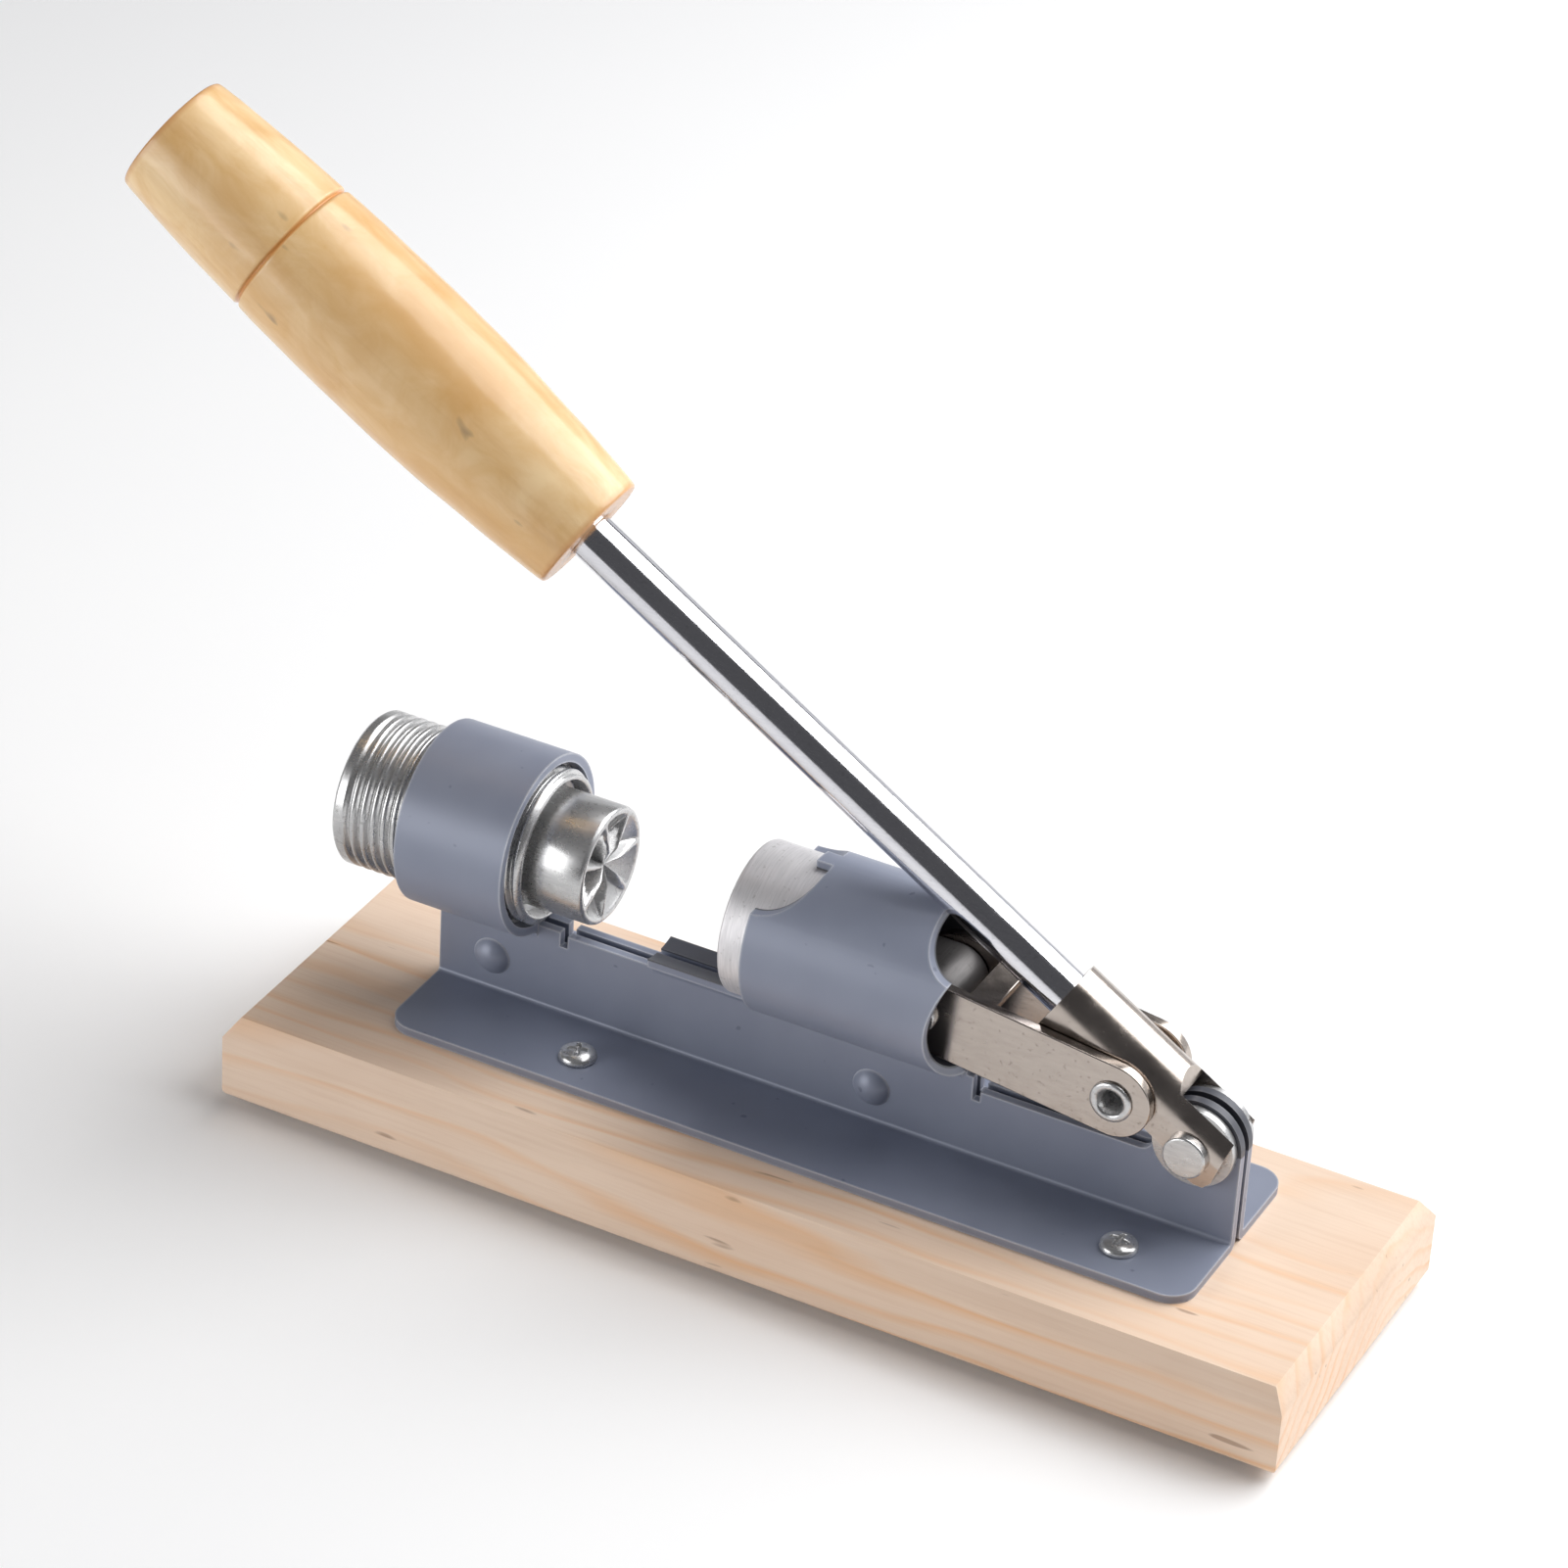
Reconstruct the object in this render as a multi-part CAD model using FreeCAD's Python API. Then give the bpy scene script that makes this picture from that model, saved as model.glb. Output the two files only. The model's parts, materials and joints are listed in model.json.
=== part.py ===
"""Bench lever nutcracker: a keyhole-section steel press frame screwed to a pine board, a screwed
anvil on the left, and a ram on the right that a hand lever drives through a toggle link.

Units are millimetres and +Z is up. +X runs along the board from the anvil to the lever's pivot.
Everything is drawn from the middle of the board's length, the plane of the lever and the board's
underside, and is moved at the end so that the origin is the middle of the bounding box's bottom.
"""
import FreeCAD, Part
import math
import os

V = FreeCAD.Vector
Y_AXIS = V(0, 1, 0)
X_AXIS = V(1, 0, 0)

# ---------------------------------------------------------------- driving dimensions
# base board
BOARD_L = 250.0
BOARD_W = 80.0
BOARD_T = 20.0
BOARD_Y = -2.0              # the board's centre line lies 2 mm in front of the lever's plane
BEVEL_IN = 3.0              # top bevel, measured inward
BEVEL_DOWN = 4.5            # top bevel, measured downward
BOARD_EASE = 2.0            # eased lower edges
FOOT_R = 5.0
FOOT_H = 2.0
FOOT_INSET = 9.0

# press frame: one 2 mm sheet with two walls back to back
SHEET = 2.0
SLIT = 1.8                  # gap between the two walls
WALL_IN = SLIT / 2
WALL_OUT = WALL_IN + SHEET
FRAME_X0 = -94.0
FRAME_X1 = 95.5
FLANGE_Y = 26.0
FLANGE_CORNER_R = 6.0
FLANGE_TOP = BOARD_T + SHEET
AXIS_Z = 61.0               # common axis of the anvil screw and the ram
NECK_R = 2.6                # outside fillet where a sleeve turns down into the walls

ANVIL_SLEEVE_X = (-96.0, -70.0)
ANVIL_SLEEVE_R = 20.5
RAM_SLEEVE_X = (-13.5, 33.0)
RAM_SLEEVE_R = 19.0
RAM_BORE_R = RAM_SLEEVE_R - SHEET
ANVIL_BORE_R = ANVIL_SLEEVE_R - SHEET
GUTTER_X0 = -42.0           # the ram sleeve's bottom runs on to here as a shallow gutter
GUTTER_Y = 5.1              # half width of the gutter
GAP_TOP = 41.6              # wall top between the sleeves
TAIL_TOP = 38.3             # wall top to the right of the ram sleeve
EAR_R = 10.0
RIVET_XZ = ((-81.0, 30.2), (11.3, 30.2))
RIVET_SHANK_R = 2.0
RIVET_HEAD_R = 4.4
RIVET_HEAD_H = 2.4

# wood screws through the flanges
SCREW_XY = ((-52.0, -16.0), (76.0, -16.0), (-52.0, 16.0), (76.0, 16.0))
SCREW_HEAD_R = 4.2
SCREW_HEAD_H = 2.4
SCREW_SHANK_R = 2.0
SCREW_LENGTH = 14.0         # below the flange's upper face

# anvil
BUSH_X = (-93.0, -73.0)
SCREW_CREST_R = 17.3
BUSH_BORE_R = SCREW_CREST_R + 0.08
THREAD_PITCH = 2.5
THREAD_DEPTH = 1.2
THREAD_RIM = 4.0            # plain rim before the first groove
ANVIL_SCREW_X = (-113.5, -67.5)
ANVIL_WEB_X = (-80.0, -71.5)
ANVIL_BACK_BORE_R = 13.0
ANVIL_FACE_BORE_R = 15.2
STEM_R = 6.0
CUP_R = 13.3
CUP_FACE_X = -54.5
CUP_RIM = 1.5
CUP_DEPTH = 6.0
RIB_COUNT = 7
CLIP_R = 9.0
CLIP_T = 1.4

# ram and its clevis tongue
RAM_R = RAM_BORE_R - 0.05
RAM_X = (-20.0, 8.0)
TONGUE_HALF_W = 7.8
TONGUE_R = 7.0
RAM_PIN_R = 2.5
RAM_PIN_PLAY = 2.3          # radial play of the ram pin in the tongue's hole

# toggle: P0 lever pivot, P1 link rivet, P2 ram pin, all as (x, z)
P0 = (85.5, 44.3)
P1 = (68.9, 53.0)
P2 = (24.5, 58.5)

# link: a channel of two cheeks joined by a bridge over the top
LINK_IN = 8.1
LINK_T = 2.5
LINK_OUT = LINK_IN + LINK_T
LINK_R = 8.6
BRIDGE_S = (9.0, 15.4)      # bridge, measured along the link from the ram pin
BRIDGE_T = 2.0
LINK_RIVET_R = 3.2
LINK_RIVET_BORE = 2.3
LINK_RIVET_FLANGE_R = 4.7
LINK_RIVET_FLANGE_T = 0.9

# lever: u runs up the lever from P0, v is square to it in the lever's plane
LEVER_ANGLE = math.radians(148.0)
LEVER_AXIS_V = 2.5          # the rod's axis passes above P0 by this much
STOP_GAP = 0.15             # between the lowered rod and its saddle in the ram sleeve
ROD_R = 5.2
ROD_U0 = 24.0
ROD_IN_GRIP = 60.0
YOKE_T = 2.6
YOKE_R = ROD_R + YOKE_T
YOKE_U = 40.3
YOKE_SLOT_U = 9.0           # where the slot ends at the bore
YOKE_SLOT_SLOPE = 3.0       # its end face leans back by this much through the sheet
PIVOT_R = 3.0
PIVOT_HEAD_R = 4.8
PIVOT_HEAD_T = 2.0
PIVOT_CLIP_R = 4.8
PIVOT_CLIP_T = 1.6
SPACER_R = 9.2              # nearly as large as the ear; clears the slot's end all round
GRIP_U = 176.6
# grip outline: distance from the lower end, radius
GRIP_PROFILE = (
    (0.0, 13.6), (1.0, 14.0), (13.5, 15.1), (23.5, 15.8), (33.5, 16.5), (45.0, 16.9),
    (62.0, 17.0), (78.0, 16.75), (88.0, 16.3), (99.0, 15.8), (110.0, 15.1), (119.0, 14.4), (120.0, 13.9),
)
GRIP_GROOVE_S = 85.5
GRIP_GROOVE_W = 1.2
GRIP_GROOVE_DEPTH = 0.8


# ---------------------------------------------------------------- helpers
def box(x, y, z):
    """Box from three (low, high) pairs."""
    return Part.makeBox(x[1] - x[0], y[1] - y[0], z[1] - z[0], V(x[0], y[0], z[0]))


def rod_x(x, r, y=0.0, z=AXIS_Z):
    """Cylinder along X between the pair x."""
    return Part.makeCylinder(r, x[1] - x[0], V(x[0], y, z), X_AXIS)


def rod_y(y, r, centre):
    """Cylinder along Y between the pair y, at an (x, z) centre."""
    return Part.makeCylinder(r, y[1] - y[0], V(centre[0], y[0], centre[1]), Y_AXIS)


def prism_y(outline, y):
    """Outline of (x, z) points, extruded along Y between the pair y."""
    points = [V(px, y[0], pz) for px, pz in outline]
    face = Part.Face(Part.makePolygon(points + points[:1]))
    return face.extrude(V(0, y[1] - y[0], 0))


def prism_x(outline, x):
    """Outline of (y, z) points, extruded along X between the pair x."""
    points = [V(x[0], py, pz) for py, pz in outline]
    face = Part.Face(Part.makePolygon(points + points[:1]))
    return face.extrude(V(x[1] - x[0], 0, 0))


def fused(shapes):
    """One solid from touching or overlapping shapes."""
    return shapes[0].multiFuse(shapes[1:]).removeSplitter()


def mirror_y(shape):
    """Copy on the other side of the lever's plane."""
    return shape.mirror(V(0, 0, 0), Y_AXIS)


def edges_at(shape, test):
    """Edges whose end points all pass the test."""
    return [e for e in shape.Edges if len(e.Vertexes) == 2 and all(test(v.Point) for v in e.Vertexes)]


def near(a, b):
    return abs(a - b) < 1e-4


def on_lever(u, v):
    """World (x, z) of a lever point: u up the lever from P0, v square to it."""
    c, s = math.cos(LEVER_ANGLE), math.sin(LEVER_ANGLE)
    return (P0[0] + u * c + v * s, P0[1] + u * s - v * c)


def on_link(s, v):
    """World (x, z) of a link point: s from P2 toward P1, v square to it."""
    length = math.hypot(P1[0] - P2[0], P1[1] - P2[1])
    c, d = (P1[0] - P2[0]) / length, (P1[1] - P2[1]) / length
    return (P2[0] + s * c - v * d, P2[1] + s * d + v * c)


def along_lever(u, r):
    """Cylinder on the rod's axis between the pair u."""
    start = on_lever(u[0], LEVER_AXIS_V)
    direction = V(math.cos(LEVER_ANGLE), 0, math.sin(LEVER_ANGLE))
    return Part.makeCylinder(r, u[1] - u[0], V(start[0], 0, start[1]), direction)


# ---------------------------------------------------------------- base
def make_board():
    """Pine board with a bevelled top, eased lower edges and pilot holes."""
    y0, y1 = BOARD_Y - BOARD_W / 2, BOARD_Y + BOARD_W / 2
    shoulder = BOARD_T - BEVEL_DOWN
    lower = box((-BOARD_L / 2, BOARD_L / 2), (y0, y1), (0, shoulder))
    lower = lower.makeFillet(BOARD_EASE, edges_at(lower, lambda p: near(p.z, 0)))
    corners = ((-BOARD_L / 2, y0), (BOARD_L / 2, y0), (BOARD_L / 2, y1), (-BOARD_L / 2, y1))
    inset = ((1, 1), (-1, 1), (-1, -1), (1, -1))
    outer = [V(x, y, shoulder) for x, y in corners]
    inner = [V(x + i * BEVEL_IN, y + j * BEVEL_IN, BOARD_T) for (x, y), (i, j) in zip(corners, inset)]
    top = Part.makeLoft([Part.makePolygon(outer + outer[:1]), Part.makePolygon(inner + inner[:1])], True)
    board = fused([lower, top])
    for x, y in SCREW_XY:
        depth = SCREW_LENGTH - SHEET
        board = board.cut(Part.makeCylinder(SCREW_SHANK_R, depth, V(x, y, BOARD_T - depth)))
    return board


def make_feet():
    """Four round rubber feet under the corners."""
    feet = []
    for sx in (-1, 1):
        for sy in (-1, 1):
            x = sx * (BOARD_L / 2 - FOOT_INSET)
            y = BOARD_Y + sy * (BOARD_W / 2 - FOOT_INSET)
            foot = Part.makeCylinder(FOOT_R, FOOT_H, V(x, y, -FOOT_H))
            feet.append(foot)
    return Part.makeCompound(feet)


def make_base_screws():
    """Four pan-head wood screws with a cross recess."""
    screws = []
    for x, y in SCREW_XY:
        dome_r = (SCREW_HEAD_R ** 2 + SCREW_HEAD_H ** 2) / (2 * SCREW_HEAD_H)
        ball = Part.makeSphere(dome_r, V(x, y, FLANGE_TOP + SCREW_HEAD_H - dome_r))
        head = ball.common(Part.makeCylinder(SCREW_HEAD_R, SCREW_HEAD_H, V(x, y, FLANGE_TOP)))
        top = FLANGE_TOP + SCREW_HEAD_H
        for w, d in ((2.2, 0.45), (0.45, 2.2)):
            head = head.cut(box((x - w, x + w), (y - d, y + d), (top - 1.4, top + 0.1)))
        shank_l = SCREW_LENGTH - 3.0
        shank = Part.makeCylinder(SCREW_SHANK_R, shank_l, V(x, y, FLANGE_TOP - shank_l))
        tip = Part.makeCone(0.3, SCREW_SHANK_R, 3.0, V(x, y, FLANGE_TOP - SCREW_LENGTH))
        screws.append(fused([head, shank, tip]))
    return Part.makeCompound(screws)


# ---------------------------------------------------------------- press frame
def neck_fillet(x, sleeve_r):
    """Front fillet between a sleeve's outside and the front wall, over the pair x."""
    cy = -(WALL_OUT + NECK_R)
    cz = AXIS_Z - math.sqrt((sleeve_r + NECK_R) ** 2 - cy ** 2)
    touch = sleeve_r / (sleeve_r + NECK_R)
    ty, tz = cy * touch, AXIS_Z - (AXIS_Z - cz) * touch
    inside = (ty * 0.94, AXIS_Z - (AXIS_Z - tz) * 0.94)
    outline = [(-WALL_IN - 0.2, cz), (cy, cz), (ty, tz), inside, (-WALL_IN - 0.2, AXIS_Z - sleeve_r + 1.0)]
    web = prism_x(outline, x)
    return web.cut(Part.makeCylinder(NECK_R, x[1] - x[0], V(x[0], cy, cz), X_AXIS))


def make_wall_and_flange():
    """Front flange and front wall, trimmed to the wall's outline."""
    wall_top = P0[1] + EAR_R + 5
    outline = [
        (-FLANGE_Y, BOARD_T), (-WALL_IN, BOARD_T), (-WALL_IN, wall_top),
        (-WALL_OUT, wall_top), (-WALL_OUT, FLANGE_TOP), (-FLANGE_Y, FLANGE_TOP),
    ]
    angle = prism_x(outline, (FRAME_X0, FRAME_X1))
    angle = angle.makeFillet(0.9, edges_at(angle, lambda p: near(p.y, -WALL_OUT) and near(p.z, FLANGE_TOP)))
    angle = angle.makeFillet(2.3, edges_at(angle, lambda p: near(p.y, -WALL_IN) and near(p.z, BOARD_T)))
    angle = angle.makeFillet(
        FLANGE_CORNER_R, [e for e in edges_at(angle, lambda p: near(p.y, -FLANGE_Y)) if near(e.Length, SHEET)]
    )
    # what is cut away above the wall: the outline steps down at each relief notch
    steps = [
        (FRAME_X0 - 1, ANVIL_SLEEVE_X[1], AXIS_Z - ANVIL_BORE_R + 1.2),
        (ANVIL_SLEEVE_X[1], -64.4, GAP_TOP + 0.6),
        (-64.4, -62.6, 38.6),
        (-62.6, GUTTER_X0, GAP_TOP),
        (GUTTER_X0, RAM_SLEEVE_X[1], AXIS_Z - RAM_BORE_R + 0.6),
        (RAM_SLEEVE_X[1], 34.6, 41.5),
        (34.6, 36.4, 35.8),
    ]
    for x0, x1, top in steps:
        angle = angle.cut(box((x0, x1), (-WALL_OUT - 1, 0), (top, wall_top + 1)))
    tail = box((36.4, FRAME_X1 + 1), (-WALL_OUT - 1, 0), (TAIL_TOP, wall_top + 1))
    ear = rod_y((-WALL_OUT - 1, 0), EAR_R, P0)
    ear_post = box((P0[0], FRAME_X1 + 1), (-WALL_OUT - 1, 0), (TAIL_TOP, P0[1]))
    # concave corner between the tail's top and the ear
    corner_r = 3.0
    corner_z = TAIL_TOP + corner_r
    corner_x = P0[0] - math.sqrt((EAR_R + corner_r) ** 2 - (P0[1] - corner_z) ** 2)
    corner = box((corner_x, P0[0]), (-WALL_OUT - 1, 0), (TAIL_TOP - 0.1, corner_z))
    corner = corner.cut(rod_y((-WALL_OUT - 2, 1), corner_r, (corner_x, corner_z)))
    angle = angle.cut(tail.cut(fused([ear, ear_post, corner])))
    return angle


def make_frame():
    """The whole sheet: flanges, walls, two sleeves and the gutter."""
    front = make_wall_and_flange()
    sleeve_a = rod_x(ANVIL_SLEEVE_X, ANVIL_SLEEVE_R)
    sleeve_b = rod_x(RAM_SLEEVE_X, RAM_SLEEVE_R)
    # ram sleeve ends: swept-back front, scalloped rear
    sleeve_b = sleeve_b.cut(rod_y((-30, 30), 12.2, (-13.5, 84.5)))
    sleeve_b = sleeve_b.cut(rod_y((-30, 30), 9.6, (34.6, 80.4)))
    sleeve_b = sleeve_b.cut(rod_y((-30, 30), 31.9, (61.3, 56.5)))
    tab = rod_x((-6.0, 0.0), RAM_SLEEVE_R).common(box((-6.0, 0.0), (-0.5, 4.5), (AXIS_Z, AXIS_Z + 30)))
    gutter = rod_x((GUTTER_X0, RAM_SLEEVE_X[0] + 0.5), RAM_SLEEVE_R)
    gutter = gutter.common(box((GUTTER_X0, 0), (-GUTTER_Y, GUTTER_Y), (AXIS_Z - 30, AXIS_Z - 10)))
    fillet_a = neck_fillet((FRAME_X0, ANVIL_SLEEVE_X[1]), ANVIL_SLEEVE_R)
    fillet_b = neck_fillet((GUTTER_X0, RAM_SLEEVE_X[1] - 1.0), RAM_SLEEVE_R)
    half = [front, fillet_a, fillet_b]
    frame = fused([sleeve_a, sleeve_b, tab, gutter] + half + [mirror_y(s) for s in half])
    frame = frame.cut(rod_x((-97, -66), ANVIL_BORE_R))
    frame = frame.cut(rod_x((GUTTER_X0 - 1, 34.5), RAM_BORE_R))
    frame = frame.cut(box((FRAME_X0 - 3, FRAME_X1 + 1), (-WALL_IN, WALL_IN), (BOARD_T - 1, AXIS_Z - 10)))
    for x, z in RIVET_XZ:
        frame = frame.cut(rod_y((-5, 5), RIVET_SHANK_R, (x, z)))
    frame = frame.cut(rod_y((-5, 5), PIVOT_R + 0.05, P0))
    frame = frame.cut(along_lever((40.0, 110.0), ROD_R + STOP_GAP))     # saddle that the rod rests in
    for x, y in SCREW_XY:
        frame = frame.cut(Part.makeCylinder(SCREW_SHANK_R, 4, V(x, y, BOARD_T - 1)))
    return frame


def make_frame_rivets():
    """Two dome-headed rivets that clamp the walls together."""
    rivets = []
    for x, z in RIVET_XZ:
        dome_r = (RIVET_HEAD_R ** 2 + RIVET_HEAD_H ** 2) / (2 * RIVET_HEAD_H)
        ball = Part.makeSphere(dome_r, V(x, -WALL_OUT - RIVET_HEAD_H + dome_r, z))
        head = ball.common(rod_y((-WALL_OUT - RIVET_HEAD_H, -WALL_OUT), RIVET_HEAD_R, (x, z)))
        shank = rod_y((-WALL_OUT, WALL_OUT), RIVET_SHANK_R, (x, z))
        rivets.append(fused([head, mirror_y(head), shank]))
    return Part.makeCompound(rivets)


# ---------------------------------------------------------------- anvil
def make_bush():
    """Steel bush fixed in the anvil sleeve; the screw turns in it."""
    return rod_x(BUSH_X, ANVIL_BORE_R).cut(rod_x((BUSH_X[0] - 1, BUSH_X[1] + 1), BUSH_BORE_R))


def make_adjusting_screw():
    """Hollow-backed screw: ridged outside, a web with the stem's hole, and a recessed face."""
    x0, x1 = ANVIL_SCREW_X
    root_r = SCREW_CREST_R - THREAD_DEPTH
    side = [(x0, root_r), (x0 + 0.8, SCREW_CREST_R)]
    groove_x = x0 + THREAD_RIM
    while groove_x < x1 - THREAD_PITCH / 2:
        side += [(groove_x - THREAD_PITCH * 0.42, SCREW_CREST_R), (groove_x, root_r)]
        side += [(groove_x + THREAD_PITCH * 0.42, SCREW_CREST_R)]
        groove_x += THREAD_PITCH
    side += [(x1 - 0.8, SCREW_CREST_R), (x1, root_r)]
    points = [V(x0, 0, 0)] + [V(x, 0, r) for x, r in side] + [V(x1, 0, 0)]
    body = Part.Face(Part.makePolygon(points + points[:1])).revolve(V(0, 0, 0), X_AXIS, 360)
    body.translate(V(0, 0, AXIS_Z))
    body = body.cut(rod_x((x0 - 1, ANVIL_WEB_X[0]), ANVIL_BACK_BORE_R))
    body = body.cut(rod_x((ANVIL_WEB_X[1], x1 + 1), ANVIL_FACE_BORE_R))
    return body.cut(rod_x((x0, x1), STEM_R + 0.05))


def ribbed_recess(face_x, sign, rim_r):
    """Cone to cut from a face and the radial ribs that stay in it. sign is +1 where the face looks to +X."""
    cone = Part.makeCone(rim_r, 2.5, CUP_DEPTH, V(face_x, 0, AXIS_Z), V(-sign, 0, 0))
    ribs = []
    for k in range(RIB_COUNT):
        outline = [(-1.0, -CUP_DEPTH), (1.0, -CUP_DEPTH), (0.0, -0.9)]
        points = [V(face_x + sign * pz, py, 0) for py, pz in outline]
        wedge = Part.Face(Part.makePolygon(points + points[:1])).extrude(V(0, 0, rim_r + 1))
        wedge.rotate(V(0, 0, 0), X_AXIS, 360.0 * k / RIB_COUNT)
        wedge.translate(V(0, 0, AXIS_Z))
        ribs.append(wedge)
    return cone, fused(ribs).common(cone)


def make_anvil_cup():
    """Anvil: ribbed concave face, plain barrel, and a stem with a clip groove."""
    back_x = ANVIL_WEB_X[1] + 0.05
    cup = rod_x((back_x, CUP_FACE_X), CUP_R)
    cone, ribs = ribbed_recess(CUP_FACE_X, 1, CUP_R - CUP_RIM)
    stem_end = ANVIL_WEB_X[0] - CLIP_T - 2.0
    stem = rod_x((stem_end, back_x), STEM_R)
    groove_x = (ANVIL_WEB_X[0] - 0.05 - CLIP_T, ANVIL_WEB_X[0] - 0.05)
    groove = rod_x(groove_x, STEM_R + 1).cut(rod_x(groove_x, STEM_R - 1.0))
    return fused([cup.cut(cone), ribs, stem.cut(groove)])


def make_anvil_clip():
    """Open retaining ring in the stem's groove."""
    x = (ANVIL_WEB_X[0] - 0.05 - CLIP_T, ANVIL_WEB_X[0] - 0.05)
    ring = rod_x(x, CLIP_R).cut(rod_x(x, STEM_R - 1.0))
    return ring.cut(box(x, (-2.5, 2.5), (AXIS_Z - 20, AXIS_Z)))


# ---------------------------------------------------------------- ram and toggle
def make_ram():
    """Ram: a cast cylinder with a ribbed concave face and a rear tongue between the link's cheeks."""
    body = rod_x(RAM_X, RAM_R)
    body = body.makeFillet(0.8, [e for e in body.Edges if len(e.Vertexes) == 1])
    cone, ribs = ribbed_recess(RAM_X[0], -1, RAM_R - 2.6)
    tongue_y = (-TONGUE_HALF_W, TONGUE_HALF_W)
    tongue = fused([
        box((RAM_X[1] - 2, P2[0]), tongue_y, (P2[1] - TONGUE_R, P2[1] + TONGUE_R)),
        rod_y(tongue_y, TONGUE_R, P2),
    ])
    ram = fused([body.cut(cone), ribs, tongue])
    return ram.cut(rod_y((-20, 20), RAM_PIN_R + RAM_PIN_PLAY, P2))


def make_ram_pin():
    """Pin through the link's cheeks and the ram's tongue, with a thin head at each end."""
    head_t = 1.3
    pin = rod_y((-LINK_OUT, LINK_OUT), RAM_PIN_R, P2)
    head = rod_y((-LINK_OUT - head_t, -LINK_OUT), 4.0, P2)
    head = head.makeFillet(0.6, rings_at(head, -LINK_OUT - head_t))
    return fused([pin, head, mirror_y(head)])


def rings_at(shape, y):
    """Closed edges that lie in the plane y."""
    rings = [e for e in shape.Edges if len(e.Vertexes) == 1]
    return [e for e in rings if near(e.BoundBox.YMin, y) and near(e.BoundBox.YMax, y)]


def make_link():
    """Toggle link: one channel with two rounded cheeks and a bridge over the top."""
    length = math.hypot(P1[0] - P2[0], P1[1] - P2[1])
    y = (-LINK_OUT, -LINK_IN)
    bar = [on_link(0, -LINK_R), on_link(length, -LINK_R), on_link(length, LINK_R), on_link(0, LINK_R)]
    cheek = fused([prism_y(bar, y), rod_y(y, LINK_R, P2), rod_y(y, LINK_R, P1)])
    cheek = cheek.cut(rod_y((-20, 20), RAM_PIN_R, P2)).cut(rod_y((-20, 20), LINK_RIVET_R + 0.05, P1))
    s0, s1 = BRIDGE_S
    low = LINK_R - BRIDGE_T
    strip = [on_link(s0, low), on_link(s1, low), on_link(s1, LINK_R), on_link(s0, LINK_R)]
    bridge = prism_y(strip, (-LINK_IN - 0.5, LINK_IN + 0.5))
    return fused([cheek, mirror_y(cheek), bridge])


def make_link_rivet():
    """Hollow rivet that joins the link to the yoke, flared over the link at both ends."""
    gap = 0.05
    barrel = rod_y((-LINK_OUT - gap, LINK_OUT + gap), LINK_RIVET_R, P1)
    y0 = -LINK_OUT - gap - LINK_RIVET_FLANGE_T
    flange = rod_y((y0, -LINK_OUT - gap), LINK_RIVET_FLANGE_R, P1)
    flange = flange.makeFillet(0.5, rings_at(flange, y0))
    rivet = fused([barrel, flange, mirror_y(flange)])
    return rivet.cut(rod_y((-20, 20), LINK_RIVET_BORE, P1))


# ---------------------------------------------------------------- lever
def channel(r, floor):
    """Arched bar along the yoke: round over the rod's axis, straight below it down to v = floor."""
    u = (-12.0, YOKE_U + 1)
    below = [(u[0], floor), (u[1], floor), (u[1], LEVER_AXIS_V), (u[0], LEVER_AXIS_V)]
    return fused([along_lever(u, r), prism_y([on_lever(*corner) for corner in below], (-r, r))])


def make_yoke():
    """Yoke: sheet folded round the rod, its two cheeks straddling the frame's ears."""
    crest = LEVER_AXIS_V + YOKE_R
    side = [
        (YOKE_U, -3.3), (YOKE_U, crest), (-5.0, crest), (-7.7, -1.5), (-7.1, -3.7), (-5.2, -4.7), (0.0, -5.0),
        (4.7, -3.0), (10.5, -3.0),
    ]
    y = (-YOKE_R, YOKE_R)
    profile = fused([
        prism_y([on_lever(u, v) for u, v in side], y),
        rod_y(y, 5.0, P0),
        rod_y(y, 7.2, P1),
    ])
    yoke = profile.common(channel(YOKE_R, -14.0)).cut(channel(ROD_R, -15.0))
    bore_top = LEVER_AXIS_V + ROD_R
    slope_u = YOKE_SLOT_U + YOKE_SLOT_SLOPE
    slot = [
        (-14.0, 0.0), (YOKE_SLOT_U, 0.0), (YOKE_SLOT_U, bore_top), (slope_u, crest), (slope_u, 14.0), (-14.0, 14.0),
    ]
    yoke = yoke.cut(prism_y([on_lever(u, v) for u, v in slot], (-ROD_R, ROD_R)))
    yoke = yoke.cut(rod_y((-20, 20), PIVOT_R, P0))
    return yoke.cut(rod_y((-20, 20), LINK_RIVET_R, P1))


def make_pivot_pin():
    """Lever pivot: flat round head in front, plain end behind."""
    head = rod_y((-YOKE_R - PIVOT_HEAD_T, -YOKE_R), PIVOT_HEAD_R, P0)
    head = head.makeFillet(0.5, rings_at(head, -YOKE_R - PIVOT_HEAD_T))
    shank = rod_y((-YOKE_R, YOKE_R + PIVOT_CLIP_T + 0.9), PIVOT_R, P0)
    shank = shank.makeChamfer(0.5, rings_at(shank, YOKE_R + PIVOT_CLIP_T + 0.9))
    return fused([head, shank])


def make_pivot_clip():
    """Push-on retainer on the pivot pin's rear end."""
    clip = rod_y((YOKE_R, YOKE_R + PIVOT_CLIP_T), PIVOT_CLIP_R, P0)
    clip = clip.makeFillet(0.5, rings_at(clip, YOKE_R + PIVOT_CLIP_T))
    return clip.cut(rod_y((0, 20), PIVOT_R, P0))


def make_pivot_spacers():
    """Two rings that fill the space between the yoke's cheeks and the frame's ears."""
    front = rod_y((-ROD_R, -WALL_OUT - 0.06), SPACER_R, P0).cut(rod_y((-20, 20), PIVOT_R, P0))
    return Part.makeCompound([front, mirror_y(front)])


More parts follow.
